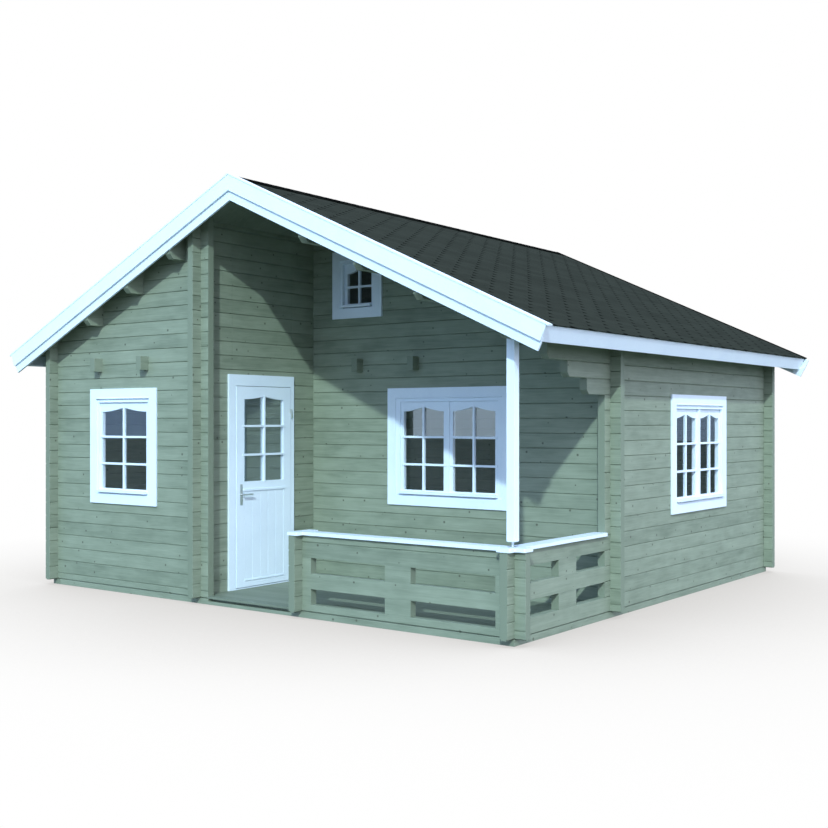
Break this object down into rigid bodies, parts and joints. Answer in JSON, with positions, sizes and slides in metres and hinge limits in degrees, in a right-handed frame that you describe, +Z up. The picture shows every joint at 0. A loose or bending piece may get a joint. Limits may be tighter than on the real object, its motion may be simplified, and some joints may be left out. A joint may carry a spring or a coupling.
{
  "type": "log cabin",
  "caption": "Single-storey log cabin with a recessed corner porch, a glazed outward-opening door, paned windows, log railings and a low-pitched shingled gable roof.",
  "frame": {"origin": "on the ground at the middle of the roof's outline in plan", "axes": "+Z up, -Y towards the front gable with the porch, +X to the right seen from the front"},
  "size_m": [6.53, 5.882, 3.9047],
  "materials": {
    "stained_logs": "satin translucent stain",
    "base_timber": "matt stained",
    "floor_boards": "matt bare wood",
    "roof_boards": "matt bare wood",
    "white_paint": "satin white paint",
    "shingles": "matt granulated bitumen",
    "glass": "clear",
    "steel": "brushed"
  },
  "bodies": {
    "cabin": {"left_wall": "stained_logs", "right_wall": "stained_logs", "porch_eave_logs": "stained_logs", "front_wall": "stained_logs", "porch_wall": "stained_logs", "back_wall": "stained_logs", "entry_wall_front": "stained_logs", "entry_wall_back": "stained_logs", "entry_wall_top": "stained_logs", "loft_joists": "stained_logs", "purlins": "stained_logs", "railing_columns": "stained_logs", "front_rails": "stained_logs", "side_rails": "stained_logs", "front_rail_blocks": "stained_logs", "side_rail_blocks": "stained_logs", "porch_post": "white_paint", "side_base_beams": "base_timber", "cross_base_beams": "base_timber", "cabin_floor": "floor_boards", "porch_floor": "floor_boards", "loft_floor": "floor_boards", "left_roof_deck": "roof_boards", "right_roof_deck": "roof_boards", "left_barge_boards": "white_paint", "right_barge_boards": "white_paint", "left_lower_barge_boards": "white_paint", "right_lower_barge_boards": "white_paint", "left_barge_strips": "white_paint", "right_barge_strips": "white_paint", "eave_fascias": "white_paint", "railing_cap": "white_paint", "window_frames": "white_paint", "window_sashes": "white_paint", "door_frame": "white_paint", "left_shingles": "shingles", "right_shingles": "shingles", "ridge_cap": "shingles", "window_glass": "glass", "post_foot": "steel", "door_hinge_pins": "steel"},
    "door": {"door_leaf": "white_paint", "door_glass": "glass", "door_handles": "steel", "door_hinge_sleeves": "steel"}
  },
  "joints": [
    {"name": "door_hinge", "type": "hinge", "parent": "cabin", "child": "door", "pos_m": [-0.564, -1.501, 1], "axis": [0, 0, 1], "range_deg": [0, 100]}
  ]
}
